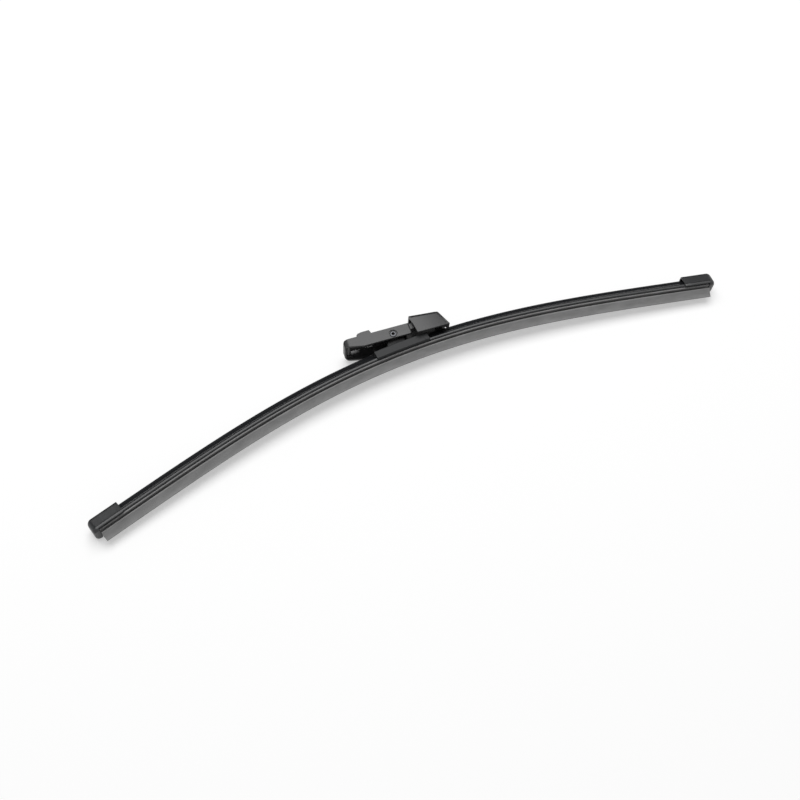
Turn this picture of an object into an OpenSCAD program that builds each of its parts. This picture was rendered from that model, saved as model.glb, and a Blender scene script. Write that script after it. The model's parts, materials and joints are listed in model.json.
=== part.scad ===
// Flat wiper blade lying on its side, as it comes to rest on a table.
// The blade is drawn in its own plane first: x runs along it, y points from the wiping lip
// to the spoiler's crest, and z is its width. The last step tips it onto its side.

/* [Blade] */
// Length along the spring rails, end caps included
blade_len = 400; // [300:10:600]
// Radius of the bow at the middle, which fades to straight ends
bow_r = 428; // [380:1:900]

/* [Wiper rubber] */
// Thickness of the wiping lip at its edge
lip_t = 0.7; // [0.5:0.05:1]
// Width of the wedge at its shoulder
wedge_w = 5.8; // [5:0.1:6.4]
// Height of the wedge from the lip's edge to its shoulder
wedge_h = 5; // [4:0.1:6]
// Height of the straight side at the top of the wedge
wedge_land = 0.6; // [0.3:0.1:1]
// Thickness of the neck that lets the wedge lean over
neck_t = 1; // [0.7:0.05:1.4]
// Height of the neck
neck_h = 1.2; // [0.9:0.05:1.6]
// Width of the flange below the rails
flange_w = 8; // [7.4:0.1:8.4]
// Thickness of the flange
flange_t = 0.65; // [0.5:0.05:0.9]
// Width of the raised seat that the rails lie on
seat_w = 6.4; // [5.4:0.1:6.8]
// Height of that seat above the flange
seat_h = 0.4; // [0.35:0.05:0.7]
// Thickness of the web between the two rails
web_t = 2.4; // [1.6:0.1:3]
// Width of the head above the rails
head_w = 4.8; // [4:0.1:6]
// Height of the head
head_h = 1.15; // [0.8:0.05:1.6]

/* [Spring rails] */
// Width of one spring steel rail
rail_w = 3.3; // [3:0.1:3.8]
// Thickness of a rail
rail_t = 0.8; // [0.6:0.05:1.1]
// Clearance round each rail
rail_play = 0.05; // [0.03:0.01:0.1]

/* [Spoiler] */
// Wall of the jaws outside the rails
jaw_wall = 0.5; // [0.4:0.05:0.9]
// Height of the jaws' straight sides
jaw_h = 1.5; // [1.2:0.1:2.2]
// Height of the crest above the lip's edge
crest_h = 13.7; // [12:0.1:17]
// Width across the crest
crest_w = 1.9; // [1.4:0.1:3]
// Clearance round the rubber's head
head_play = 0.15; // [0.1:0.05:0.3]

/* [End caps] */
// Length of an end cap
cap_len = 19; // [16:0.5:32]
// Wall of a cap
cap_wall = 0.85; // [0.7:0.05:1.3]
// Thickness of a cap's closed end
cap_end = 3.5; // [3.2:0.1:4]
// Height of a cap's top above the lip's edge
cap_top = 14.7; // [14.5:0.1:16]
// Half width of a cap at its shoulder, just below its top
cap_shoulder = 4.5; // [4:0.1:5]
// Length of the rounded part at the closed end
cap_round = 3; // [2:0.1:3]
// Clearance between a cap and the spoiler's jaws in it
cap_play = 0.1; // [0.05:0.05:0.2]
// Height of a cap's closed end above the lip's edge
cap_foot = 5.4; // [5.2:0.1:6]
// Gap between the spoiler's end and a cap's closed end
cap_room = 5.5; // [2:0.1:8]

/* [Base bracket] */
// Reach of the bracket to the left of the pin
base_left = 14.5; // [12:0.5:22]
// Reach of the bracket to the right of the pin
base_right = 19; // [14:0.5:26]
// Width of the bracket
base_w = 12; // [11.4:0.1:13]
// Height of its deck above the lip's edge
base_h = 12.5; // [11.5:0.1:13.5]
// Length of the ears at the deck
ear_len = 11; // [8:0.5:16]
// Thickness of one ear
ear_t = 2.6; // [2:0.1:3]
// Radius of the ears round the pin
ear_r = 3; // [2.6:0.1:3.1]
// Diameter of the round rivet head near the bracket's right end
stud_d = 1.8; // [1:0.1:2.6]

/* [Pivot pin] */
// Diameter of the pin
pin_d = 3.6; // [3:0.1:4]
// Height of the pin's axis above the lip's edge
pin_h = 17.3; // [16.8:0.1:19]
// Clearance between the pin and the adapter's bores, on the radius
pin_play = 0.05; // [0.02:0.01:0.1]
// Diameter of the pin's two rolled heads
pin_head_d = 4.4; // [4.2:0.1:4.8]
// Thickness of a rolled head
pin_head_t = 0.5; // [0.3:0.05:0.6]
// Diameter of the dimple in each head
pin_dimple_d = 1.4; // [0.8:0.1:1.8]

/* [Adapter] */
// Slope of the adapter to the blade as it lies, right end towards the blade
adapter_rest = 6.5; // [0:0.5:8]
// Width over the cheeks, which the arm's channel slides over
adapter_w = 17; // [16:0.1:18]
// Thickness of a cheek
cheek_t = 1.5; // [1.2:0.1:1.8]
// Reach of the adapter to the left of the pin
adapter_left = 29.3; // [26:0.1:34]
// Reach of the cheeks to the right of the pin
cheek_right = 11; // [9:0.5:12]
// Top of the adapter above the pin
adapter_top = 4.35; // [4.2:0.05:5]
// Lower edge of the cheeks below the pin
adapter_low = 2.6; // [2.2:0.1:3.2]
// Thickness of the top web
web_top_t = 1.1; // [0.8:0.05:1.1]
// Corner radius at the left end, seen from above
nose_r = 3.5; // [2:0.1:5]
// Corner radius at the cheeks' right end, seen from above
tail_r = 1.2; // [0.5:0.1:1.4]
// Diameter of the recess round each pin head
recess_d = 5.2; // [5:0.1:5.8]
// Depth of that recess
recess_h = 0.6; // [0.5:0.05:0.7]
// Side play between the ears' bosses and the cheeks
side_play = 0.15; // [0.1:0.05:0.3]

/* [Release button] */
// Height of the button's top above the pin
button_top = 8.6; // [7:0.1:9.5]
// Distance from a cheek's outside to the button's side
button_inset = 3.5; // [3:0.1:4.5]
// Length of the raised block
button_len = 7.9; // [6:0.1:9]
// Distance from the adapter's left end to the button's hinge
hinge_in = 2.7; // [2.5:0.1:3]
// Reach of the catch face from the button's hinge
catch_r = 15.7; // [14:0.1:17]
// Radius of the button's hinge knuckle
knuckle_r = 1.5; // [1.3:0.05:1.6]
// Diameter of the stubs that the button turns on
stub_d = 2; // [1.6:0.1:2.2]
// Clearance round the button in its window
button_play = 0.2; // [0.15:0.05:0.4]

/* [Hood] */
// How far the hood stands out of the cheeks on each side
hood_over = 1.25; // [1:0.05:1.8]
// Wall of the hood
hood_wall = 1.3; // [1:0.1:1.3]
// Distance from the pin to the lower left corner
hood_left = 13.8; // [13:0.1:16]
// Distance from the pin to the nose
hood_right = 34.3; // [31:0.1:40]
// Lower edge of the hood below the pin
hood_low = 3.8; // [3:0.1:4.4]
// Height of the top above the pin at the left
hood_top = 9; // [7.8:0.1:9.5]
// Fall of the top from left to right
hood_fall = 1.6; // [0:0.1:2.2]
// Clearance between the hood and the adapter's pads
hood_play = 0.1; // [0.05:0.05:0.2]

/* [Hidden] */
$fn = 48;
eps = 0.01;
cut = 40;

// Heights above the lip's edge
neck_top = wedge_h + neck_h;
flange_top = neck_top + flange_t;
seat_top = flange_top + seat_h;
rail_low = seat_top + rail_play;
rail_mid = rail_low + rail_t / 2;
rail_top = rail_low + rail_t;
head_low = rail_top + rail_play;
head_top = head_low + head_h;

// Widths and half widths
hood_w = adapter_w + 2 * hood_over;
button_w = adapter_w - 2 * button_inset;
rail_in = web_t / 2 + rail_play;
rail_out = rail_in + rail_w;
jaw_out = rail_out + rail_play + jaw_wall;
jaw_low = flange_top + rail_play;
jaw_top = jaw_low + jaw_h;
cap_out = jaw_out + cap_wall;
cap_drop = 0.55;
cap_low = jaw_low - cap_drop;

// The blade's curved line through the rails: the bow's curvature is greatest at the middle
// and fades to nothing at the ends. Rings stand on it every ring_step, and stations between
// two rings lie on the straight line that joins them.
half_len = blade_len / 2;
ring_step = 10;
ring_parts = 5;
ring_count = ceil(half_len / ring_step) + 1;
function turned(s) =
    let (q = s / half_len)
    (s / bow_r) * (1 - 2 * pow(q, 2) / 3 + pow(q, 4) / 5) * 180 / PI;
function walk(i, j) = turned((i * ring_parts + j + 0.5) * ring_step / ring_parts);
function stride(i) =
    let (d = ring_step / ring_parts)
    d * [
        cos(walk(i, 0)) + cos(walk(i, 1)) + cos(walk(i, 2)) + cos(walk(i, 3)) + cos(walk(i, 4)),
        -sin(walk(i, 0)) - sin(walk(i, 1)) - sin(walk(i, 2)) - sin(walk(i, 3)) - sin(walk(i, 4))
    ];
line_points = [
    for (i = 0, p = [0, rail_mid]; i <= ring_count; p = p + stride(i), i = i + 1) p
];
function line_point(i) = i < 0 ? [-line_points[-i].x, line_points[-i].y] : line_points[i];

// A point of the section, given as half width and height, carried to ring i
function ring_point(i, p) =
    let (t = turned(i * ring_step), c = line_point(i), h = p.y - rail_mid)
    [c.x + h * sin(t), c.y + h * cos(t), p.x];
function carried(s, p) =
    let (u = s / ring_step, i = floor(u), f = u - i)
    f == 0 ? ring_point(i, p) : ring_point(i, p) * (1 - f) + ring_point(i + 1, p) * f;
function stations(from, to) = concat(
    [from],
    [for (i = [floor(from / ring_step) + 1:ceil(to / ring_step) - 1]) i * ring_step],
    [to]
);

// Both halves of a section from its right half, listed from the bottom up
function both(half) = concat(
    half,
    [for (i = [len(half) - 1:-1:0]) [-half[i].x, half[i].y]]
);
function bezier(a, c, b, n) = [
    for (i = [0:n]) let (t = i / n) a * pow(1 - t, 2) + c * 2 * t * (1 - t) + b * pow(t, 2)
];

// A section carried along the blade from one station to another
module swept(section, from, to) {
    st = stations(from, to);
    n = len(section);
    last = (len(st) - 1) * n;
    points = [for (s = st) for (p = section) carried(s, p)];
    sides = [
        for (k = [0:len(st) - 2]) for (j = [0:n - 1])
            let (a = k * n + j, b = k * n + (j + 1) % n)
            each [[a, b, b + n], [a, b + n, a + n]]
    ];
    ends = [[for (j = [n - 1:-1:0]) j], [for (j = [0:n - 1]) last + j]];
    polyhedron(points, concat(sides, ends));
}

// Sections
taper_steps = 6;
function wedge_side() = [
    for (i = [0:taper_steps])
        let (t = i / taper_steps)
        [(lip_t + (wedge_w - lip_t) * pow(t, 1.5)) / 2, (wedge_h - wedge_land) * t]
];
function rubber_half() = concat(
    wedge_side(),
    [
        [wedge_w / 2, wedge_h],
        [neck_t / 2, wedge_h + 0.15],
        [neck_t / 2, neck_top],
        [flange_w / 2, neck_top],
        [flange_w / 2, flange_top],
        [seat_w / 2, flange_top],
        [seat_w / 2, seat_top],
        [web_t / 2, seat_top],
        [web_t / 2, head_low],
        [head_w / 2, head_low],
        [head_w / 2 - 0.3, head_top]
    ]
);

// The spoiler's outer side from the top of its jaw to the crest, moved out by g
function flank(g) = concat(
    [
        [jaw_out + g, jaw_top],
        [jaw_out + g - 0.15, jaw_top + 0.3],
    ],
    bezier(
        [jaw_out + g - 0.5, jaw_top + 0.5],
        [crest_w / 2 + 1.1 + g, jaw_top + 1.5],
        [crest_w / 2 + g, crest_h - 0.5 + g], 7),
    [[crest_w / 4 + g / 2, crest_h + g]]
);

// The hollow that takes the rails and the rubber's head, from its top middle downwards
function rail_hollow() = [
    [head_w / 2 + head_play, head_top + head_play],
    [head_w / 2 + head_play, head_low],
    [rail_out + rail_play, head_low],
    [rail_out + rail_play, seat_top],
    [seat_w / 2 + rail_play, seat_top],
    [seat_w / 2 + rail_play, jaw_low]
];
function spoiler_half() = concat(
    rail_hollow(),
    [[jaw_out - 0.3, jaw_low], [jaw_out, jaw_low + 0.3]],
    flank(0)
);
base_chamfer = 0.6;
function base_half() = concat(
    rail_hollow(),
    [
        [base_w / 2 - base_chamfer, jaw_low],
        [base_w / 2, jaw_low + base_chamfer],
        [base_w / 2, base_h - base_chamfer],
        [base_w / 2 - base_chamfer, base_h]
    ]
);

// Wiper rubber: one extruded strip of lip, wedge, neck, flange and head
rubber_end = half_len - cap_end - 0.1;
module wiper_rubber() {
    color("#5c5d5f")
    swept(both(rubber_half()), -rubber_end, rubber_end);
}

// Spring rails: two flat strips of spring steel, one in each side groove of the rubber
module spring_rail(side) {
    strip = [
        [rail_in, rail_low], [rail_out, rail_low], [rail_out, rail_top], [rail_in, rail_top]
    ];
    mirrored = [for (i = [3:-1:0]) [-strip[i].x, strip[i].y]];
    color("#4b4d50")
    swept(side > 0 ? strip : mirrored, -rubber_end, rubber_end);
}

// Spoiler: a soft extrusion whose jaws grip the rails, in two lengths beside the bracket
spoiler_end = half_len - cap_end - cap_room;
spoiler_gap = 0.3;
module spoiler(from, to) {
    color("#27282a")
    swept(both(spoiler_half()), from, to);
}

// End cap: a moulded sleeve with a closed end, drawn for the right end of the blade. Its
// section has a straight skirt, sides that lean in and a rounded top, all moved in by g.
cap_skirt = jaw_top - 0.4;
skirt_step = 0.1;
sleeve_cut = 0.3;
foot_cut = 1;
function cap_section(g, low, corner) =
    let (top = cap_top - g, side = cap_shoulder - g)
    both([
        [cap_out - g - corner, low],
        [cap_out - g, low + corner],
        [cap_out - g, cap_skirt],
        [cap_out - g - skirt_step, cap_skirt + 0.5],
        [side, top - 1.5],
        [side - 0.2, top - 0.9],
        [side - 0.6, top - 0.4],
        [side - 1.2, top - 0.1],
        [side - 1.9, top]
    ]);
function as_height_width(points) = [for (p = points) [p.y, p.x]];
module cap_length(section, from, to) {
    translate([from, 0, 0])
    rotate([90, 0, 90])
    linear_extrude(to - from)
    polygon(as_height_width(section));
}
// The closed end is rounded off: five sections, each moved in further than the last
round_steps = 5;
module cap_closed_end() {
    start = cap_len - cap_round;
    n = len(cap_section(0, cap_foot, foot_cut));
    rings = [
        for (i = [0:round_steps])
            let (t = 90 * i / round_steps, g = 0.8 * cap_round * (1 - cos(t)))
            [start + cap_round * sin(t), cap_section(g, cap_foot + g / 2, foot_cut)]
    ];
    points = [for (r = rings) for (p = r[1]) [r[0], p.y, p.x]];
    sides = [
        for (k = [0:round_steps - 1]) for (j = [0:n - 1])
            let (a = k * n + j, b = k * n + (j + 1) % n)
            each [[a, b, b + n], [a, b + n, a + n]]
    ];
    ends = [[for (j = [n - 1:-1:0]) j], [for (j = [0:n - 1]) round_steps * n + j]];
    polyhedron(points, concat(sides, ends));
}
module cap_in_place() {
    closed = cap_len - cap_end;
    difference() {
        union() {
            cap_length(cap_section(0, cap_low, sleeve_cut), 0, closed + eps);
            cap_length(cap_section(0, cap_foot, foot_cut), closed, cap_len - cap_round + eps);
            cap_closed_end();
        }
        cap_length(cap_section(cap_wall - cap_play, -1, sleeve_cut), -1, closed);
    }
}
module end_cap() {
    t = turned(half_len);
    c = carried(half_len, [0, rail_mid]);
    color("#2c2d2f")
    translate(c)
    rotate([0, 0, -t])
    translate([-cap_len, -rail_mid, 0])
    cap_in_place();
}

// Base bracket: a moulded clip that grips the rails and carries the pin in two ears.
// Its gripping part is turned about the middle of the bow.
bow_centre = rail_mid - bow_r;
boss_out = adapter_w / 2 - cheek_t - side_play;
ear_out = base_w / 2 - base_chamfer - 0.1;
module base_grip() {
    from = base_left / bow_r * 180 / PI;
    to = base_right / bow_r * 180 / PI;
    translate([0, bow_centre, 0])
    rotate([0, 0, 90 - to])
    rotate_extrude(angle = from + to, $fn = 720)
    polygon([for (p = both(base_half())) [p.y - bow_centre, p.x]]);
}
module ear_outline() {
    foot = base_h - 1.5;
    top = pin_h + ear_r - 1;
    polygon([
        [-ear_len / 2, foot],
        [ear_len / 2, foot],
        [ear_len / 2, base_h + 0.5],
        [ear_r - 1, top],
        [1 - ear_r, top],
        [-ear_len / 2, base_h + 0.5]
    ]);
}
module base_bracket() {
    color("#505255")
    difference() {
        union() {
            base_grip();
            for (side = [-1, 1]) {
                translate([0, 0, side * (ear_out - ear_t / 2)])
                linear_extrude(ear_t, center = true)
                ear_outline();
                translate([0, pin_h, side > 0 ? ear_out - ear_t : -boss_out])
                cylinder(h = boss_out - ear_out + ear_t, r = ear_r);
                stud(side);
            }
        }
        translate([0, pin_h, 0])
        cylinder(h = cut, d = pin_d + 2 * pin_seat, center = true);
    }
}
pin_seat = 0.02;
stud_h = 0.3;
stud_inset = 2;
module stud(side) {
    place = carried(base_right - stud_inset, [0, jaw_low + 1.6]);
    translate([place.x, place.y, side > 0 ? base_w / 2 - eps : -base_w / 2 - stud_h])
    cylinder(h = stud_h + eps, d = stud_d);
}

// Pivot pin: a steel rivet, fast in the ears, with a rolled head in each cheek's recess
head_gap = 0.03;
pin_head_in = adapter_w / 2 - recess_h + head_gap;
pin_out = pin_head_in + pin_head_t;
module pivot_pin() {
    color("#8b8d90")
    translate([0, pin_h, 0])
    rotate_extrude()
    polygon([
        [0, -pin_out + 0.9],
        [pin_dimple_d / 2 - 0.2, -pin_out + 0.9],
        [pin_dimple_d / 2, -pin_out],
        [pin_head_d / 2 - 0.4, -pin_out],
        [pin_head_d / 2, -pin_out + 0.3],
        [pin_head_d / 2, -pin_head_in],
        [pin_d / 2, -pin_head_in],
        [pin_d / 2, pin_head_in],
        [pin_head_d / 2, pin_head_in],
        [pin_head_d / 2, pin_out - 0.3],
        [pin_head_d / 2 - 0.4, pin_out],
        [pin_dimple_d / 2, pin_out],
        [pin_dimple_d / 2 - 0.2, pin_out - 0.9],
        [0, pin_out - 0.9]
    ]);
}

// What turns on the pin is drawn about it, sloping as the adapter does at rest
module on_pin() {
    translate([0, pin_h, 0])
    rotate([0, 0, -adapter_rest])
    children();
}

// Adapter body: cheeks, top web, an end block that holds the button's hinge, and a neck
// under the hood. The arm's channel slides over it from the left.
cheek_in = adapter_w / 2 - cheek_t;
web_low = adapter_top - web_top_t;
end_block_t = 4.3;
hinge_x = -adapter_left + hinge_in;
hinge_y = 2.5;
chin_len = 10.6;
window_left = -adapter_left + end_block_t;
window_right = hinge_x + catch_r + button_play;
slot_right = window_right - 0.8;
neck_low = 0.9;
nose_room = 7.5;
neck_right = hood_right - nose_room;
neck_stop = hood_left + 1.5;
neck_rise = 0.3;
neck_top_y = adapter_top + neck_rise;
module cheek_outline() {
    polygon([
        [-adapter_left, 0.6],
        [-adapter_left + 1.5, -0.4],
        [-adapter_left + chin_len, -adapter_low],
        [cheek_right - 1, -adapter_low],
        [cheek_right, 1 - adapter_low],
        [cheek_right, adapter_top],
        [-adapter_left + 0.6, adapter_top],
        [-adapter_left, adapter_top - 0.6]
    ]);
}
module plan_outline() {
    left = -adapter_left;
    half = adapter_w / 2;
    translate([left + nose_r, -half])
    square([cheek_right - tail_r - left - nose_r, adapter_w]);
    translate([cheek_right - 2 * tail_r, tail_r - half])
    square([2 * tail_r, adapter_w - 2 * tail_r]);
    for (side = [-1, 1])
        translate([cheek_right - tail_r, side * (half - tail_r)])
        circle(tail_r);
    translate([left, -half + nose_r])
    square([nose_r + 1, adapter_w - 2 * nose_r]);
    for (side = [-1, 1])
        translate([left + nose_r, side * (half - nose_r)])
        circle(nose_r);
}
module cheeks_and_web() {
    intersection() {
        linear_extrude(adapter_w, center = true)
        cheek_outline();
        rotate([90, 0, 0])
        linear_extrude(cut, center = true)
        plan_outline();
    }
}
module channel() {
    // The open underside, from the end block to the cheeks' right end
    translate([window_left, -cut / 2, -cheek_in])
    cube([cheek_right - window_left + cut, cut / 2 + web_low, 2 * cheek_in]);
    // The end block's underside clears the spoiler's crest
    translate([-adapter_left - 1, -cut / 2, -cheek_in])
    cube([end_block_t + 2, cut / 2 + 0.6, 2 * cheek_in]);
}
module button_window() {
    slot = button_w / 2 + button_play;
    translate([window_left, 0, -cheek_in])
    cube([slot_right - window_left, cut, 2 * cheek_in]);
    translate([window_left, 0, -slot])
    cube([window_right - window_left, cut, 2 * slot]);
    translate([hinge_x - knuckle_r - button_play, -cut / 2, -slot])
    cube([end_block_t + 1, cut, 2 * slot]);
}
module neck() {
    half = cheek_in;
    wall = 1.5;
    difference() {
        union() {
            translate([cheek_right - 2, neck_low, -half])
            cube([neck_stop - cheek_right + 2 + eps, adapter_top - neck_low, 2 * half]);
            translate([neck_stop, neck_low, -half])
            cube([neck_right - neck_stop, neck_top_y - neck_low, 2 * half]);
            for (side = [-1, 1])
                translate([neck_stop + 2, neck_low + 0.6, side > 0 ? half - eps : -pad_out])
                cube([pad_len, 2.4, pad_out - half + eps]);
        }
        translate([neck_stop + wall, neck_low + wall, -half + wall])
        cube([neck_right - neck_stop - 2 * wall, cut, 2 * half - 2 * wall]);
    }
}
pad_len = 5;
pad_out = hood_w / 2 - hood_wall - hood_play;
module adapter_body() {
    color("#5f6163")
    on_pin()
    difference() {
        union() {
            difference() {
                cheeks_and_web();
                channel();
                button_window();
            }
            neck();
        }
        cylinder(h = cut, d = pin_d + 2 * pin_play, center = true);
        for (side = [-1, 1])
            translate([0, 0, side > 0 ? adapter_w / 2 - recess_h : -adapter_w / 2 - 1])
            cylinder(h = recess_h + 1, d = recess_d);
        translate([hinge_x, hinge_y, 0])
        cylinder(h = 2 * stub_reach, d = stub_d + 2 * pin_play, center = true);
    }
}
stub_reach = adapter_w / 2 - 1.2;

// Release button: a ramped catch that rocks about two stubs in the end block
button_right = hinge_x + catch_r;
block_left = hinge_x + sqrt(pow(catch_r, 2) - pow(button_top - hinge_y, 2)) - button_len;
plate_low = web_low;
plate_top = adapter_top - 0.35;
ramp_len = 3;
ramp_fall = 0.1;
lug_in = 0.7;
lug_len = 3.6;
module button_outline() {
    intersection() {
        translate([hinge_x, hinge_y])
        circle(catch_r, $fn = 96);
        polygon([
            [block_left, plate_low],
            [button_right + 1, plate_low],
            [button_right + 1, button_top],
            [block_left + ramp_len, button_top - ramp_fall],
            [block_left + ramp_len / 3, button_top - 0.55],
            [block_left, button_top - 1.2]
        ]);
    }
}
module release_button() {
    color("#5f6163")
    on_pin()
    difference() {
        union() {
            linear_extrude(button_w, center = true)
            button_outline();
            translate([hinge_x, plate_low, -button_w / 2])
            cube([block_left - hinge_x + eps, plate_top - plate_low, button_w]);
            translate([hinge_x, hinge_y, 0])
            cylinder(h = button_w, r = knuckle_r, center = true);
            translate([hinge_x, hinge_y, 0])
            cylinder(h = 2 * (stub_reach - button_play), d = stub_d, center = true);
            translate([block_left + lug_in, plate_low, -cheek_in + button_play])
            cube([lug_len, plate_top - plate_low, 2 * (cheek_in - button_play)]);
        }
        translate([block_left + 1.4, plate_low - 1, -button_w / 2 + 1.3])
        cube([button_len - 3.2, button_top - plate_low - 0.3, button_w - 2.6]);
    }
}

// Hood cover: a shell over the neck, whose left edge the arm's end slides up to. Its side
// view is cut by two bevels, one along the top and one along the sloping nose.
lean = 1.5;
nose_back = 2.2;
nose_low = 1.2 - hood_low;
nose_run = 3.1;
nose_rise = 7.1;
brow_run = 6.2;
brow_rise = 0.8;
shoulder_h = 4.6;
bevel_h = 2.2;
bevel_in = 1.8;
edge_cut = 0.5;
top_fall_angle = atan(hood_fall / (hood_right - brow_run - hood_left + lean));
nose_angle = atan(nose_rise / nose_run);
function hood_side(g, low, left) =
    let (right = hood_right - g, top = hood_top - g, brow = top - hood_fall)
    [
        [left, low],
        [right - nose_back, low],
        [right, max(low, nose_low)],
        [right - nose_run, nose_low + nose_rise - g],
        [right - nose_run - 1, brow - brow_rise],
        [right - brow_run, brow],
        [left - lean + edge_cut, top],
        [left - lean, top - edge_cut],
        [left - 0.7 * lean, shoulder_h]
    ];
function hood_edge(g) =
    let (half = hood_w / 2 - g)
    both([
        [half, -2 * cut],
        [half, -bevel_h],
        [half - bevel_in + edge_cut / 2, -edge_cut],
        [half - bevel_in - edge_cut / 2, 0]
    ]);
module edge_bevel(g, at, angle) {
    translate([at.x, at.y, 0])
    rotate([0, 0, -angle])
    rotate([90, 0, 90])
    linear_extrude(4 * cut, center = true)
    polygon(as_height_width(hood_edge(g)));
}
module hood_shape(g, low, left) {
    intersection() {
        linear_extrude(cut, center = true)
        polygon(hood_side(g, low, left));
        edge_bevel(g, [hood_left - lean, hood_top - g], top_fall_angle);
        edge_bevel(g, [hood_right - g, nose_low], nose_angle);
    }
}

// The nose is notched where it straddles the spoiler, a little wider than the spoiler's section
notch_len = 6;
notch_low = 3.8;
notch_mid = [2.9, -2.9];
notch_top = [1.6, 0.8];
module nose_notch() {
    half = [[notch_low, -hood_low - 1], [notch_low, -hood_low], notch_mid, notch_top];
    translate([hood_right - notch_len, 0, 0])
    rotate([90, 0, 90])
    linear_extrude(cut)
    polygon(as_height_width(both(half)));
}
module hood_cover() {
    color("#5f6163")
    on_pin()
    difference() {
        hood_shape(0, -hood_low, hood_left);
        hood_shape(hood_wall, -hood_low - 1, hood_left - 2);
        nose_notch();
    }
}

// The blade comes to rest on the hood's lower right corner and on both end caps
hood_touch = pin_h - (hood_right - nose_back) * sin(adapter_rest) - hood_low * cos(adapter_rest);
cap_touch = carried(half_len, [0, rail_mid]).y + cap_round * sin(turned(half_len))
    + (cap_foot + foot_cut - rail_mid) * cos(turned(half_len));
rest_tilt = atan((hood_w / 2 - cap_out) / (hood_touch - cap_touch));
lift = cap_out * cos(rest_tilt) - cap_touch * sin(rest_tilt);
low_y = carried(rubber_end, [0, 0]).y * cos(rest_tilt);
high_y = (pin_h - (block_left + ramp_len) * sin(adapter_rest)
    + (button_top - ramp_fall) * cos(adapter_rest)) * cos(rest_tilt)
    + button_w / 2 * sin(rest_tilt);
module at_rest() {
    translate([0, -(low_y + high_y) / 2, lift])
    rotate([rest_tilt, 0, 0])
    children();
}

at_rest() wiper_rubber();
at_rest() spring_rail(1);  // upper_spring_rail
at_rest() spring_rail(-1);  // lower_spring_rail
at_rest() spoiler(-spoiler_end, -base_left - spoiler_gap);  // left_spoiler
at_rest() spoiler(base_right + spoiler_gap, spoiler_end);  // right_spoiler
at_rest() mirror([1, 0, 0]) end_cap();  // left_end_cap
at_rest() end_cap();  // right_end_cap
at_rest() base_bracket();
at_rest() pivot_pin();
at_rest() adapter_body();
at_rest() release_button();
at_rest() hood_cover();
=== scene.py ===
import json
import math

import bmesh
import bpy
import numpy as np
from mathutils import Matrix, Vector


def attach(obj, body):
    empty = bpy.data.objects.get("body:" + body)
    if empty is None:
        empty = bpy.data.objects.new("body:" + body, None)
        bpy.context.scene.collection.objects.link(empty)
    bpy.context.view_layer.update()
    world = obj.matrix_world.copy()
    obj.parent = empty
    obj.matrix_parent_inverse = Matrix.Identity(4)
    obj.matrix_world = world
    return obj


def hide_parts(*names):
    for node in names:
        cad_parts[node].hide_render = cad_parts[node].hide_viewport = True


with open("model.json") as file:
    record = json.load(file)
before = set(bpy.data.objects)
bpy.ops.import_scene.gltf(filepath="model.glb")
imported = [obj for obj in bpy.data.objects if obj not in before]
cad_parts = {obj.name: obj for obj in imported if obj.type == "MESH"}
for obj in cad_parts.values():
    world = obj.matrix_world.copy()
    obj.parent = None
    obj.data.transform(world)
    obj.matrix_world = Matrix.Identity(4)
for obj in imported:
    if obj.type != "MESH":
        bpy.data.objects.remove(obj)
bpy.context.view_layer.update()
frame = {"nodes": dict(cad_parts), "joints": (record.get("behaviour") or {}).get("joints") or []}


# Table, light and camera
# The blade lies on its side on a white sheet. One large soft lamp stands behind and above it, so
# its shadow falls towards the camera, and a pale room fills the rest.

def from_hex(code):
    """Turns an sRGB colour such as #808080 into the linear values that a shader takes."""
    value = np.array([int(code[i:i + 2], 16) for i in (1, 3, 5)]) / 255
    linear = np.where(value <= 0.04045, value / 12.92, ((value + 0.055) / 1.055) ** 2.4)
    return (*linear, 1.0)


def add(tree, kind, sockets=None, **settings):
    """Adds one node. A socket's entry is a value, or the output that feeds it."""
    node = tree.nodes.new(kind)
    for name, value in settings.items():
        setattr(node, name, value)
    for name, value in (sockets or {}).items():
        if isinstance(value, bpy.types.NodeSocket):
            tree.links.new(value, node.inputs[name])
        else:
            node.inputs[name].default_value = value
    return node


def new_tree(owner):
    """Empties a material's or the world's node tree and returns it."""
    owner.use_nodes = True
    owner.node_tree.nodes.clear()
    return owner.node_tree


def seen_directly(tree):
    """Is 1 for camera, glossy and transmission rays, and 0 for the rays that light things."""
    ray = add(tree, "ShaderNodeLightPath")
    seen = ray.outputs["Is Camera Ray"]
    for kind in ("Is Glossy Ray", "Is Transmission Ray"):
        larger = add(tree, "ShaderNodeMath", {0: seen, 1: ray.outputs[kind]}, operation="MAXIMUM")
        seen = larger.outputs[0]
    return seen


scene = bpy.context.scene
scene.view_settings.view_transform = "Standard"

# The room lights the blade weakly, and is seen and reflected as white
room_light, room_white = 0.22, 1.0
room = bpy.data.worlds.new("pale_room")
scene.world = room
tree = new_tree(room)
level = add(tree, "ShaderNodeMapRange",
            {"Value": seen_directly(tree), "To Min": room_light, "To Max": room_white})
sky = add(tree, "ShaderNodeBackground", {"Color": (1, 1, 1, 1), "Strength": level.outputs[0]})
add(tree, "ShaderNodeOutputWorld", {"Surface": sky.outputs[0]})

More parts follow.
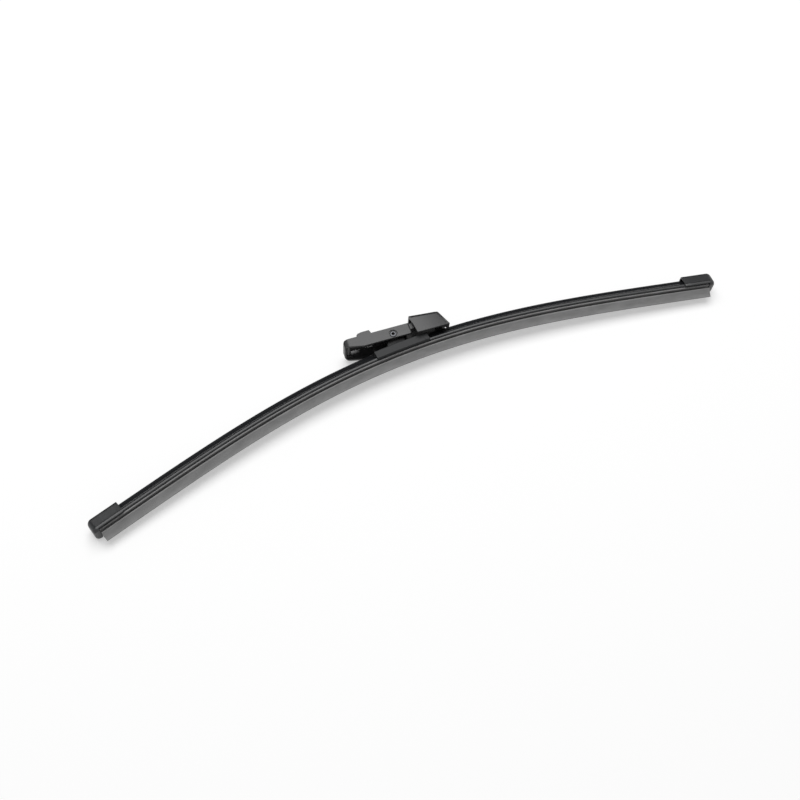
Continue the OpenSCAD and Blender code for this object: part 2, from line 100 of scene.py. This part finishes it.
# White paper. Where it is seen, part of its white is a constant, which keeps the shadow as light
# as on the backlit table of a product photo. Far from the blade it runs into the white room.
paper_glow = 0.43
fade_from, fade_to = 0.35, 1.0
paper = bpy.data.materials.new("white_paper_sheet")
tree = new_tree(paper)
sheet = add(tree, "ShaderNodeBsdfDiffuse", {"Color": from_hex("#f4f4f4")})
shown = add(tree, "ShaderNodeBsdfDiffuse", {"Color": from_hex("#d0d0d0")})
lift = add(tree, "ShaderNodeEmission", {"Color": (1, 1, 1, 1), "Strength": paper_glow})
pale = add(tree, "ShaderNodeAddShader", {0: shown.outputs[0], 1: lift.outputs[0]})
spot = add(tree, "ShaderNodeTexCoord")
away = add(tree, "ShaderNodeVectorMath", {0: spot.outputs["Object"]}, operation="LENGTH")
far = add(tree, "ShaderNodeMapRange",
          {"Value": away.outputs["Value"], "From Min": fade_from, "From Max": fade_to},
          interpolation_type="SMOOTHSTEP")
white = add(tree, "ShaderNodeEmission", {"Color": (1, 1, 1, 1), "Strength": room_white})
fading = add(tree, "ShaderNodeMixShader", {0: far.outputs[0], 1: pale.outputs[0], 2: white.outputs[0]})
both = add(tree, "ShaderNodeMixShader",
           {0: seen_directly(tree), 1: sheet.outputs[0], 2: fading.outputs[0]})
add(tree, "ShaderNodeOutputMaterial", {"Surface": both.outputs[0]})

table_half = 3.0
corners = np.array([(-1, -1, 0), (1, -1, 0), (1, 1, 0), (-1, 1, 0)]) * table_half
mesh = bpy.data.meshes.new("paper_sheet")
mesh.from_pydata(corners, [], [(0, 1, 2, 3)])
mesh.materials.append(paper)
table = bpy.data.objects.new("paper_sheet", mesh)
scene.collection.objects.link(table)

# A black card lies and stands behind the blade, as photographers place one to give dark plastic
# its dark edges. Its front edge is cut to the blade's bow, and it shows in reflections alone.
black = bpy.data.materials.new("black_card")
tree = new_tree(black)
matt = add(tree, "ShaderNodeBsdfDiffuse", {"Color": from_hex("#141414")})
add(tree, "ShaderNodeOutputMaterial", {"Surface": matt.outputs[0]})

card_side, card_back, card_low, card_top = 2.2, 1.7, 0.0005, 1.85
cut_middle, bow_depth, bow_half = 0.042, 0.0343, 0.1977
cut_points = 22
cut_x = np.linspace(-0.2, 0.22, cut_points)
cut_y = cut_middle - bow_depth * (cut_x / bow_half) ** 2
front = np.stack([cut_x, cut_y, np.full(cut_points, card_low)], axis=1)
others = [(card_side, cut_y[-1], card_low), (card_side, card_back, card_low),
          (card_side, card_back, card_top), (-card_side, card_back, card_top),
          (-card_side, card_back, card_low)]
right_back = cut_points + 1
left_back = cut_points + 4
lying = (*range(right_back + 1), left_back)
standing = tuple(range(right_back, left_back + 1))
mesh = bpy.data.meshes.new("black_card")
mesh.from_pydata(np.concatenate([front, others]), [], [lying, standing])
mesh.materials.append(black)
card = bpy.data.objects.new("black_card", mesh)
for kind in ("camera", "diffuse", "shadow", "transmission"):
    setattr(card, "visible_" + kind, False)
scene.collection.objects.link(card)


def aim(thing, place, target):
    """Stands a lamp or camera at place with its -Z axis towards target and its top upwards."""
    back = np.array(place, float) - np.array(target, float)
    back /= np.linalg.norm(back)
    right = np.cross((0, 0, 1), back)
    right /= np.linalg.norm(right)
    up = np.cross(back, right)
    turn = np.identity(4)
    turn[:3, :3] = np.stack([right, up, back], axis=1)
    turn[:3, 3] = place
    thing.matrix_world = Matrix(turn)


light = bpy.data.lights.new("soft_box_above", "AREA")
light.shape = "RECTANGLE"
light.size = 1.9
light.size_y = 1.9
light.energy = 37.0
soft_box = bpy.data.objects.new("soft_box_above", light)
scene.collection.objects.link(soft_box)
aim(soft_box, (0.1, 0.56, 1.9), (0, 0, 0))

# The camera stands 640 mm from the blade and looks down at it by 57 degrees, from the left
view_az, view_el = math.radians(-25.51), math.radians(56.97)
camera_reach = 0.640
level_part = math.cos(view_el)
look = np.array([-math.sin(view_az) * level_part, math.cos(view_az) * level_part, -math.sin(view_el)])
centre = np.array([-0.01352, -0.01887, 0.009])
eye = bpy.data.cameras.new("camera")
eye.sensor_width = 36.0
eye.lens = 50.5
eye.clip_start = 0.01
camera = bpy.data.objects.new("camera", eye)
scene.collection.objects.link(camera)
aim(camera, centre - camera_reach * look, centre)
scene.camera = camera


# Wiper rubber
# One extruded strip of natural rubber, cut to length: lip, wedge, thin neck, flange, and a head
# that sits between the rails. It was extruded as a mirrored pair and slit along the lip, then
# its wedge was coated with graphite, which makes it grey and dull.

pivot = next(joint for joint in frame["joints"] if joint["name"] == "adapter_pivot")
across = np.array(pivot["axis"])
along = np.array([1.0, 0.0, 0.0])
upward = np.cross(across, along)
pin_height = 0.0173
origin = np.array(pivot["pos_m"]) - pin_height * upward

# The bow: a line whose slope grows from the middle to the ends, tightest in the middle
half_len = 0.200
bow_radius = 0.428
rail_level = 0.0077
fine = np.linspace(0, half_len, 801)
share = fine / half_len
turned = (fine / bow_radius) * (1 - 2 * share ** 2 / 3 + share ** 4 / 5)
middle = (turned[1:] + turned[:-1]) / 2
line_x = np.concatenate([[0], np.cumsum(np.cos(middle) * np.diff(fine))])
line_y = rail_level - np.concatenate([[0], np.cumsum(np.sin(middle) * np.diff(fine))])


def on_blade(station, width, height):
    """Places points of the section: the bow's line gives the spot and the slope at each station,
    height is measured from the lip's edge square to that line, and width across the blade."""
    station, width, height = np.broadcast_arrays(station, width, height)
    s = np.abs(station)
    slope = np.interp(s, fine, turned)
    reach = height - rail_level
    x = np.sign(station) * (np.interp(s, fine, line_x) + reach * np.sin(slope))
    y = np.interp(s, fine, line_y) + reach * np.cos(slope)
    return origin + x[..., None] * along + y[..., None] * upward + width[..., None] * across


def eased(points, radius, steps=4):
    """Rounds each corner of a closed outline: a corner C becomes a quadratic curve from the point
    radius before it to the point radius after it, drawn towards C."""
    points = np.asarray(points, float)
    radius = np.broadcast_to(np.asarray(radius, float), len(points))[:, None]
    before, after = np.roll(points, 1, axis=0), np.roll(points, -1, axis=0)
    back, on = before - points, after - points
    len_back = np.linalg.norm(back, axis=1, keepdims=True)
    len_on = np.linalg.norm(on, axis=1, keepdims=True)
    start = points + back / len_back * np.minimum(radius, len_back * 0.45)
    end = points + on / len_on * np.minimum(radius, len_on * 0.45)
    t = np.linspace(0, 1, steps + 1)[None, :, None]
    curve = (1 - t) ** 2 * start[:, None] + 2 * t * (1 - t) * points[:, None] + t ** 2 * end[:, None]
    return curve.reshape(-1, 2)


def both_sides(half):
    """Adds the mirror image to the right half of a section, listed from the bottom up."""
    half = np.asarray(half, float)
    return np.concatenate([half, half[::-1] * (-1, 1)])


def skin(name, rings, material, uv=None, sharp=35):
    """Makes a closed mesh from a grid of points, rows along and columns round, with quads between
    neighbours, flat faces over the two end rings, and uv given as one pair for each point."""
    rows, cols = rings.shape[:2]
    i, j = np.meshgrid(np.arange(rows - 1), np.arange(cols), indexing="ij")
    beside = (j + 1) % cols
    grid = [i * cols + j, (i + 1) * cols + j, (i + 1) * cols + beside, i * cols + beside]
    quads = np.stack(grid, axis=-1).reshape(-1, 4)
    ring = np.arange(cols)
    ends = [ring.tolist(), (ring[::-1] + (rows - 1) * cols).tolist()]
    mesh = bpy.data.meshes.new(name)
    mesh.from_pydata(rings.reshape(-1, 3), [], quads.tolist() + ends)
    if uv is not None:
        layer = mesh.uv_layers.new(name="run")
        corner_points = np.empty(len(mesh.loops), int)
        mesh.loops.foreach_get("vertex_index", corner_points)
        pairs = uv.reshape(-1, 2)[corner_points]
        of_quads = np.arange(4 * len(quads)).reshape(-1, 4)
        closing = (quads[:, 0] % cols) == cols - 1
        girth = uv[0, -1, 1] + np.linalg.norm(rings[0, -1] - rings[0, 0])
        pairs[of_quads[closing][:, 2:], 1] = girth
        layer.data.foreach_set("uv", pairs.astype(np.float32).ravel())
    shape = bmesh.new()
    shape.from_mesh(mesh)
    bmesh.ops.recalc_face_normals(shape, faces=shape.faces)
    shape.to_mesh(mesh)
    shape.free()
    mesh.shade_smooth()
    mesh.set_sharp_from_angle(angle=math.radians(sharp))
    mesh.materials.append(material)
    thing = bpy.data.objects.new(name, mesh)
    scene.collection.objects.link(thing)
    return thing


def swept(name, outline, stations, material):
    """Carries a section outline along the blade, with metres along and round it as its UV."""
    rings = on_blade(stations[:, None], outline[None, :, 0], outline[None, :, 1])
    girth = np.concatenate([[0], np.cumsum(np.linalg.norm(np.diff(outline, axis=0), axis=1))])
    uv = np.stack(np.broadcast_arrays(stations[:, None], girth[None, :]), axis=-1)
    return skin(name, rings, material, uv=uv)


# Graphite-coated natural rubber: dull dark grey, and clouded where the coat is rubbed, in patches
# about 11 mm long. The extrusion left lines along it, drawn 0.7 mm apart here so that they show.
coated = bpy.data.materials.new("graphite_coated_rubber")
tree = new_tree(coated)
run = add(tree, "ShaderNodeUVMap", uv_map="run")
stretch = add(tree, "ShaderNodeMapping", {"Vector": run.outputs[0], "Scale": (60, 1400, 1)})
drawn = add(tree, "ShaderNodeTexNoise", {"Vector": stretch.outputs[0], "Scale": 1.0, "Detail": 3.0})
patches = add(tree, "ShaderNodeMapping", {"Vector": run.outputs[0], "Scale": (90, 260, 1)})
cloud = add(tree, "ShaderNodeTexNoise", {"Vector": patches.outputs[0], "Scale": 1.0, "Detail": 4.0})
tone = add(tree, "ShaderNodeValToRGB", {"Fac": cloud.outputs["Fac"]})
tone.color_ramp.elements[0].position = 0.35
tone.color_ramp.elements[0].color = from_hex("#797979")
tone.color_ramp.elements[1].position = 0.65
tone.color_ramp.elements[1].color = from_hex("#868686")
dull = add(tree, "ShaderNodeMapRange", {"Value": drawn.outputs["Fac"], "To Min": 0.55, "To Max": 0.7})
lines = add(tree, "ShaderNodeBump",
            {"Height": drawn.outputs["Fac"], "Strength": 0.12, "Distance": 0.0001})
surface = add(tree, "ShaderNodeBsdfPrincipled",
              {"Base Color": tone.outputs[0], "Roughness": dull.outputs[0], "IOR": 1.5,
               "Specular IOR Level": 0.4, "Normal": lines.outputs[0]})
add(tree, "ShaderNodeOutputMaterial", {"Surface": surface.outputs[0]})

# Full widths and heights of the section in mm, turned into half widths and heights in metres
lip, wedge, neck, flange, seat, web, head = np.array([0.7, 5.8, 1.0, 8.0, 6.4, 2.4, 4.8]) / 2000
wedge_top, neck_top, flange_top = np.array([4.8, 5.95, 6.8]) / 1000
seat_top, head_low, head_top = np.array([7.25, 8.15, 9.3]) / 1000
taper_height, taper_power = 0.0042, 1.5
rise = np.linspace(0, 1, 9)
taper = np.stack([lip + (wedge - lip) * rise ** taper_power, taper_height * rise], axis=1)
rubber_half = np.concatenate([taper, [
    (wedge, wedge_top - 0.0001), (wedge - 0.0001, wedge_top), (neck, wedge_top + 0.00015),
    (neck, neck_top), (flange, neck_top), (flange, flange_top), (seat, flange_top),
    (seat, seat_top), (web, seat_top), (web, head_low), (head, head_low),
    (head - 0.0003, head_top)]])
half_radii = np.concatenate([[0.00012], np.full(8, 0.0003), [0.0001, 0.0001, 0.0002, 0.0003],
                             np.full(8, 0.00012)])
rubber_radii = np.concatenate([half_radii, half_radii[::-1]])
rubber_outline = eased(both_sides(rubber_half), rubber_radii, 3)
rubber_end = 0.1964
rubber = swept("rubber_strip", rubber_outline, np.linspace(-rubber_end, rubber_end, 199), coated)
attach(rubber, "blade")
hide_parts("wiper_rubber")


# Spring rails
# Two flat strips of spring steel, blanked, bowed and blackened. They lie hidden in the rubber's
# side grooves and show only their ends inside the caps.

# Blackened spring steel: a dark, slightly blue metal with the lines of rolling along it, which
# are drawn 0.4 mm apart and are finer on the real strip
blued = bpy.data.materials.new("blackened_spring_steel")
tree = new_tree(blued)
spot = add(tree, "ShaderNodeTexCoord")
stretch = add(tree, "ShaderNodeMapping",
              {"Vector": spot.outputs["Object"], "Scale": (40, 2500, 2500)})
drawn = add(tree, "ShaderNodeTexNoise", {"Vector": stretch.outputs[0], "Scale": 1.0, "Detail": 2.0})
tone = add(tree, "ShaderNodeValToRGB", {"Fac": drawn.outputs["Fac"]})
tone.color_ramp.elements[0].color = from_hex("#3f4144")
tone.color_ramp.elements[1].color = from_hex("#5b5d61")
grind = add(tree, "ShaderNodeMapRange", {"Value": drawn.outputs["Fac"], "To Min": 0.35, "To Max": 0.5})
surface = add(tree, "ShaderNodeBsdfPrincipled",
              {"Base Color": tone.outputs[0], "Metallic": 1.0, "Roughness": grind.outputs[0]})
add(tree, "ShaderNodeOutputMaterial", {"Surface": surface.outputs[0]})
for rail in ("upper_spring_rail", "lower_spring_rail"):
    frame["nodes"][rail].data.materials.clear()
    frame["nodes"][rail].data.materials.append(blued)


# Spoiler
# A soft black extrusion in two lengths, one on each side of the bracket. Its jaws clip over the
# rails, and its fin runs up to a narrow crest that presses the blade down in the wind.

# Extruded black elastomer: nearly black with a satin sheen, and faint lines of the extrusion,
# drawn 0.6 mm apart and finer on the real one
satin = bpy.data.materials.new("extruded_black_elastomer")
tree = new_tree(satin)
run = add(tree, "ShaderNodeUVMap", uv_map="run")
stretch = add(tree, "ShaderNodeMapping", {"Vector": run.outputs[0], "Scale": (45, 1800, 1)})
drawn = add(tree, "ShaderNodeTexNoise", {"Vector": stretch.outputs[0], "Scale": 1.0, "Detail": 3.0})
tone = add(tree, "ShaderNodeValToRGB", {"Fac": drawn.outputs["Fac"]})
tone.color_ramp.elements[0].color = from_hex("#17181a")
tone.color_ramp.elements[1].color = from_hex("#1f2022")
dull = add(tree, "ShaderNodeMapRange", {"Value": drawn.outputs["Fac"], "To Min": 0.27, "To Max": 0.37})
lines = add(tree, "ShaderNodeBump",
            {"Height": drawn.outputs["Fac"], "Strength": 0.1, "Distance": 0.0001})
surface = add(tree, "ShaderNodeBsdfPrincipled",
              {"Base Color": tone.outputs[0], "Roughness": dull.outputs[0], "IOR": 1.5,
               "Specular IOR Level": 0.45, "Normal": lines.outputs[0]})
add(tree, "ShaderNodeOutputMaterial", {"Surface": surface.outputs[0]})

jaw, jaw_low, jaw_top, groove = 0.00510, 0.0069, 0.0084, 0.0046
crest, crest_top, head_play, seat_play = 0.00095, 0.0137, 0.00015, 0.00005

# The inside, from the space over the rubber's head down through the rails' groove to the jaw
hollow = [(head + head_play, head_top + head_play), (head + head_play, head_low), (groove, head_low),
          (groove, seat_top), (seat + seat_play, seat_top), (seat + seat_play, jaw_low)]
jaw_round = [(jaw - 0.0004, jaw_low), (jaw - 0.00012, jaw_low + 0.00018), (jaw, jaw_low + 0.0005)]
ledge = [(jaw, jaw_top - 0.0003), (jaw - 0.0001, jaw_top), (jaw - 0.00028, jaw_top + 0.00025)]

# The flank: one quadratic curve from the ledge to the crest, pulled inwards by its middle point
t = np.linspace(0, 1, 10)[:, None]
flank_low = np.array([jaw - 0.0005, jaw_top + 0.0005])
flank_pull = np.array([crest + 0.0011, jaw_top + 0.0015])
flank_high = np.array([crest, crest_top - 0.0005])
flank = flank_low * (1 - t) ** 2 + 2 * flank_pull * t * (1 - t) + flank_high * t ** 2

spoiler_half = np.concatenate([hollow, jaw_round, ledge, flank, [(crest / 2, crest_top)]])
spoiler_outline = eased(both_sides(spoiler_half), 0.00012, 3)
for name, start, end in (("left", -0.191, -0.0148), ("right", 0.0193, 0.191)):
    fin = swept(name + "_spoiler_fin", spoiler_outline, np.linspace(start, end, 89), satin)
    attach(fin, "blade")
    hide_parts(name + "_spoiler")


# End caps
# Black moulded sleeves, pushed over the ends of the spoiler and the rails. The closed end reaches
# down over the rubber, so it can't slide out.

# Moulded black plastic: an eroded mould leaves a grain of about 0.1 mm, drawn at 0.4 mm so that
# it shows as a soft sheen, and the flow of the melt leaves faint clouds of about 6 mm
moulded = bpy.data.materials.new("moulded_black_plastic")
tree = new_tree(moulded)
spot = add(tree, "ShaderNodeTexCoord")
grain = add(tree, "ShaderNodeTexNoise",
            {"Vector": spot.outputs["Object"], "Scale": 2600.0, "Detail": 2.0})
cloud = add(tree, "ShaderNodeTexNoise",
            {"Vector": spot.outputs["Object"], "Scale": 160.0, "Detail": 3.0})
tone = add(tree, "ShaderNodeValToRGB", {"Fac": cloud.outputs["Fac"]})
tone.color_ramp.elements[0].color = from_hex("#1b1c1d")
tone.color_ramp.elements[1].color = from_hex("#242527")
dull = add(tree, "ShaderNodeMapRange", {"Value": cloud.outputs["Fac"], "To Min": 0.3, "To Max": 0.4})
rough = add(tree, "ShaderNodeBump",
            {"Height": grain.outputs["Fac"], "Strength": 0.25, "Distance": 0.00008})
surface = add(tree, "ShaderNodeBsdfPrincipled",
              {"Base Color": tone.outputs[0], "Roughness": dull.outputs[0], "IOR": 1.5,
               "Specular IOR Level": 0.45, "Normal": rough.outputs[0]})
add(tree, "ShaderNodeOutputMaterial", {"Surface": surface.outputs[0]})

cap_len, cap_out, cap_top, shoulder, skirt = 0.019, 0.00595, 0.0147, 0.0045, 0.0080
cap_wall, sleeve_foot, end_foot = 0.00075, 0.00635, 0.0054


def cap_half(inset, low, cut):
    """Right half of a cap's section, moved in by inset: a foot, a straight skirt with a small
    step above it, a side that leans in, and a rounded top."""
    top, side, out = cap_top - inset, shoulder - inset, cap_out - inset
    return np.array([
        (out - cut, low), (out - 0.0001, low + cut), (out, low + cut + 0.0006),
        (out, skirt - 0.0002), (out - 0.00022, skirt + 0.0003),
        (side, top - 0.0015), (side - 0.0002, top - 0.0009), (side - 0.0006, top - 0.0004),
        (side - 0.0012, top - 0.0001), (side - 0.0019, top)])


def on_cap(hand, reach, outline):
    """Places outlines at reaches from a cap's open edge, along the straight line of its end."""
    slope, x, y = turned[-1], line_x[-1], line_y[-1]
    step, height = np.broadcast_arrays(np.asarray(reach)[:, None] - cap_len, outline[..., 1] - rail_level)
    width = np.broadcast_to(outline[..., 0], step.shape)
    spot_x = hand * (x + step * np.cos(slope) + height * np.sin(slope))
    spot_y = y - step * np.sin(slope) + height * np.cos(slope)
    return origin + spot_x[..., None] * along + spot_y[..., None] * upward + width[..., None] * across


# Sleeve: the outer side and the hollow form one open channel, with a small lead-in at its mouth
closed_at = 0.0155
sleeve_rings = []
for inset in (0.00015, 0.00004, 0.0, 0.0, 0.0, 0.0):
    outer = both_sides(cap_half(inset, sleeve_foot, 0.0003))
    inner = both_sides(cap_half(cap_wall - inset, sleeve_foot, 0.0))[::-1]
    sleeve_rings.append(eased(np.concatenate([outer, inner]), 0.00022, 4))
sleeve_at = np.array([0.0, 0.00006, 0.0002, 0.005, 0.0105, closed_at])

# Closed end: its section shrinks along a quarter circle of 3 mm
dome_at, dome_radius, dome_shrink = 0.016, 0.003, 0.8
dome = np.linspace(0, np.pi / 2, 15)
shrink = np.concatenate([[0.0], dome_shrink * dome_radius * (1 - np.cos(dome))])
end_rings = [eased(both_sides(cap_half(g, end_foot + g / 2, 0.001)), 0.0004, 5) for g in shrink]
end_at = np.concatenate([[closed_at], dome_at + dome_radius * np.sin(dome)])

for name, hand in (("left", -1), ("right", 1)):
    parts = (skin(name + "_cap_sleeve", on_cap(hand, sleeve_at, np.array(sleeve_rings)), moulded),
             skin(name + "_cap_closed_end", on_cap(hand, end_at, np.array(end_rings)), moulded))
    for part in parts:
        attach(part, "blade")
        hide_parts(name + "_end_cap")


# Base bracket
# A dark grey moulding of glass-filled plastic, snapped and staked over both rails in the middle
# of the blade. Two ears stand up from it into the adapter and carry the pin.

def grained_plastic(name, dark, light, gloss, crown=None, shade=None):
    """Glass-filled polyamide from an eroded mould: dark grey with a broad soft sheen. The grain
    is about 0.1 mm and drawn at 0.45 mm so that it shows, and the fibres under the skin leave
    faint clouds of about 8 mm. A crown (middle, gain) bends the shading along the blade, as mould
    shrinkage bends a wide flat side: the height is minus gain / 2 times the square of the
    distance from the middle. A shade (height) is painted shade: it turns the base colour near
    black above that height, standing in for the shade under the adapter."""
    made = bpy.data.materials.new(name)
    tree = new_tree(made)
    spot = add(tree, "ShaderNodeTexCoord")
    grain = add(tree, "ShaderNodeTexNoise",
                {"Vector": spot.outputs["Object"], "Scale": 2200.0, "Detail": 3.0})
    cloud = add(tree, "ShaderNodeTexNoise",
                {"Vector": spot.outputs["Object"], "Scale": 120.0, "Detail": 3.0})
    tone = add(tree, "ShaderNodeValToRGB", {"Fac": cloud.outputs["Fac"]})
    tone.color_ramp.elements[0].color = from_hex(dark)
    tone.color_ramp.elements[1].color = from_hex(light)
    dull = add(tree, "ShaderNodeMapRange",
               {"Value": grain.outputs["Fac"], "To Min": 0.34, "To Max": 0.46})
    rough = add(tree, "ShaderNodeBump",
                {"Height": grain.outputs["Fac"], "Strength": 0.22, "Distance": 0.00006})
    if crown:
        x = add(tree, "ShaderNodeSeparateXYZ", {"Vector": spot.outputs["Object"]}).outputs["X"]
        off = add(tree, "ShaderNodeMath", {0: x, 1: crown[0]}, operation="SUBTRACT")
        square = add(tree, "ShaderNodeMath", {0: off.outputs[0], 1: off.outputs[0]}, operation="MULTIPLY")
        sag = add(tree, "ShaderNodeMath", {0: square.outputs[0], 1: -crown[1] / 2}, operation="MULTIPLY")
        bent = add(tree, "ShaderNodeBump", {"Height": sag.outputs[0], "Strength": 1.0, "Distance": 1.0})
        tree.links.new(bent.outputs[0], rough.inputs["Normal"])
    surface = add(tree, "ShaderNodeBsdfPrincipled",
                  {"Base Color": tone.outputs[0], "Roughness": dull.outputs[0],
                   "Specular IOR Level": gloss, "Normal": rough.outputs[0]})
    if shade:
        # Painted shade: above the given height the base colour turns near black, standing in for the shade
        # under the adapter
        height = add(tree, "ShaderNodeVectorMath",
                     {0: spot.outputs["Object"], 1: upward}, operation="DOT_PRODUCT")
        from_here = float(origin @ upward) + shade
        fade = add(tree, "ShaderNodeMapRange",
                   {"Value": height.outputs["Value"], "From Min": from_here, "From Max": from_here + 0.0006})
        painted_shade = add(tree, "ShaderNodeMix",
                      {"Factor": fade.outputs[0], "A": tone.outputs[0], "B": from_hex("#19191a")},
                      data_type="RGBA")
        tree.links.new(painted_shade.outputs["Result"], surface.inputs["Base Color"])
    add(tree, "ShaderNodeOutputMaterial", {"Surface": surface.outputs[0]})
    return made


crease = math.radians(28)


def softened(node, name, width, material, body):
    """Copies a CAD node, joins its loose triangles into flat faces and rounds its edges."""
    mesh = frame["nodes"][node].data.copy()
    mesh.name = name
    shape = bmesh.new()
    shape.from_mesh(mesh)
    bmesh.ops.remove_doubles(shape, verts=shape.verts, dist=1e-6)
    bmesh.ops.dissolve_limit(shape, angle_limit=math.radians(1.5), verts=shape.verts, edges=shape.edges)
    shape.to_mesh(mesh)
    shape.free()
    mesh.materials.clear()
    mesh.materials.append(material)
    thing = bpy.data.objects.new(name, mesh)
    scene.collection.objects.link(thing)
    edge = thing.modifiers.new("rounded_edges", "BEVEL")
    edge.width = width
    edge.segments = 3
    edge.limit_method = "ANGLE"
    edge.angle_limit = crease
    edge.harden_normals = True
    mesh.shade_smooth()
    mesh.set_sharp_from_angle(angle=crease)
    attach(thing, body)
    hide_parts(node)
    return thing


# The bracket's ears, above 12.6 mm, get painted shade: a near black base colour standing in for the shade
# under the adapter
bracket_grey = grained_plastic("dark_bracket_plastic", "#1e1f20", "#262729", gloss=0.2, shade=0.0126)
softened("base_bracket", "bracket_moulding", 0.0003, bracket_grey, "blade")


# Pivot pin
# A plain steel rivet, turned from bar. Each end was rolled over into a ring round a dimple, which
# left the ring rubbed. The dimple is given painted shade, a near black colour in its hollow.

def lathe(name, profile, centre, axis, material, steps=96):
    """Turns a profile of (radius, place along the axis) pairs about an axis through centre. The
    UV holds the metres along the profile, and the angle."""
    profile = np.asarray(profile, float)
    axis = np.asarray(axis, float) / np.linalg.norm(axis)
    side = np.cross(axis, along)
    side /= np.linalg.norm(side)
    angle = np.linspace(0, 2 * np.pi, steps, endpoint=False)
    spoke = np.cos(angle)[:, None] * side + np.sin(angle)[:, None] * np.cross(axis, side)
    rings = centre + profile[:, 0, None, None] * spoke + profile[:, 1, None, None] * axis
    girth = np.concatenate([[0], np.cumsum(np.linalg.norm(np.diff(profile, axis=0), axis=1))])
    uv = np.stack(np.broadcast_arrays(girth[:, None], angle[None, :]), axis=-1)
    return skin(name, rings, material, uv=uv, sharp=40)


# Rolled steel: a mid grey metal, blotched where the tool rubbed it, in patches of about 0.7 mm,
# and painted shade, a brown-black colour, over the first part of the profile, which is the dimple
dimple_run = 0.00155
steel = bpy.data.materials.new("rolled_rivet_steel")
tree = new_tree(steel)
spot = add(tree, "ShaderNodeTexCoord")
cloud = add(tree, "ShaderNodeTexNoise",
            {"Vector": spot.outputs["Object"], "Scale": 1500.0, "Detail": 3.0})
run = add(tree, "ShaderNodeUVMap", uv_map="run")
span = add(tree, "ShaderNodeSeparateXYZ", {"Vector": run.outputs[0]})
tone = add(tree, "ShaderNodeValToRGB", {"Fac": cloud.outputs["Fac"]})
tone.color_ramp.elements[0].color = from_hex("#47484a")
tone.color_ramp.elements[1].color = from_hex("#5c5d60")
# Painted shade: the dimple's colour is near black, standing in for the shade in its hollow
in_dimple = add(tree, "ShaderNodeMath", {0: span.outputs["X"], 1: dimple_run}, operation="LESS_THAN")
dimple_painted_shade = add(tree, "ShaderNodeMix",
            {"Factor": in_dimple.outputs[0], "A": tone.outputs[0], "B": from_hex("#1d1c1c")},
            data_type="RGBA")
dull = add(tree, "ShaderNodeMapRange", {"Value": cloud.outputs["Fac"], "To Min": 0.34, "To Max": 0.46})
surface = add(tree, "ShaderNodeBsdfPrincipled",
              {"Base Color": dimple_painted_shade.outputs["Result"], "Metallic": 1.0, "Roughness": dull.outputs[0]})
add(tree, "ShaderNodeOutputMaterial", {"Surface": surface.outputs[0]})

# From the middle of the dimple, over the rolled ring, and down to the head's underside
pin_half, head_under, shank = 0.00843, 0.00793, 0.0018
ring_in, ring_lip, ring_out, ring_r = 0.0007, 0.0003, 0.0021, 0.0007
bend = np.linspace(0, math.pi / 2, 9)
inner_lip = np.stack([ring_in + ring_lip * (1 - np.cos(bend)),
                      pin_half - ring_lip + ring_lip * np.sin(bend)], axis=1)
outer_round = np.stack([ring_out - ring_r + ring_r * np.sin(bend),
                        pin_half - ring_r * (1 - np.cos(bend))], axis=1)
head_end = np.concatenate([
    [(0.00005, pin_half - 0.0009), (0.0004, pin_half - 0.00088), (0.00056, pin_half - 0.0008)],
    inner_lip, outer_round, [(ring_out, head_under), (shank, head_under), (shank, 0.0)]])
pin_profile = np.concatenate([head_end, head_end[-2::-1] * (1, -1)])
rivet = lathe("rolled_rivet", pin_profile, np.array(pivot["pos_m"]), across, steel)
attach(rivet, "blade")
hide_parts("pivot_pin")


# Adapter body
# The long moulding that the arm's channel slides over, of the same glass-filled plastic in a
# lighter grey. It hangs on the pin by its two cheeks and turns there.

filled = grained_plastic("glass_filled_grey_plastic", "#2b2b2c", "#343435", gloss=0.5)
softened("adapter_body", "adapter_moulding", 0.0003, filled, "adapter")


# Release button
# The ramped catch that snaps into the arm's window and is pressed to let it go. It is moulded of
# the adapter's plastic and turns on two stubs in the adapter's end.

softened("release_button", "button_moulding", 0.0003, filled, "button")


# Hood cover
# The wedge-shaped cover at the adapter's right end, snapped over the adapter's neck. It is of the
# same plastic, and hides the end of the arm's channel.

crowned = grained_plastic("hood_grey_plastic", "#2b2b2c", "#343435", gloss=0.5, crown=(0.015, 12.0))
hood = softened("hood_cover", "hood_moulding", 0.00035, crowned, "adapter")
hood_tilt = math.radians(6.5)
hood_up = math.sin(hood_tilt) * along + math.cos(hood_tilt) * upward
shape = bmesh.new()
shape.from_mesh(hood.data)

# The nose's notch over the spoiler is drawn narrower: its corners at a level above the pin and at
# a distance from the middle plane move inwards
notch_corners = ((0.0008, 0.0016, 0.0008), (-0.0029, 0.0029, 0.0003))
near = 0.0001
for point in shape.verts:
    reach = np.array(point.co) - np.array(pivot["pos_m"])
    level, side = float(reach @ hood_up), float(reach @ across)
    for corner_level, corner_side, inwards in notch_corners:
        if abs(level - corner_level) < near and abs(abs(side) - corner_side) < near:
            point.co = point.co - Vector(across * math.copysign(inwards, side))

# The long edges between the flat sides and their bevels are well rounded
soft_edges = []
for line in shape.edges:
    if len(line.link_faces) == 2:
        tilt = sorted(abs(float(np.dot(face.normal, across))) for face in line.link_faces)
        if tilt[1] > 0.99 and 0.5 < tilt[0] < 0.95 and line.calc_length() > 0.002:
            soft_edges.append(line)
bmesh.ops.bevel(shape, geom=soft_edges, offset=0.0009, segments=6, profile=0.5, affect="EDGES",
                clamp_overlap=True)
shape.to_mesh(hood.data)
shape.free()
hood.data.shade_smooth()
hood.data.set_sharp_from_angle(angle=crease)
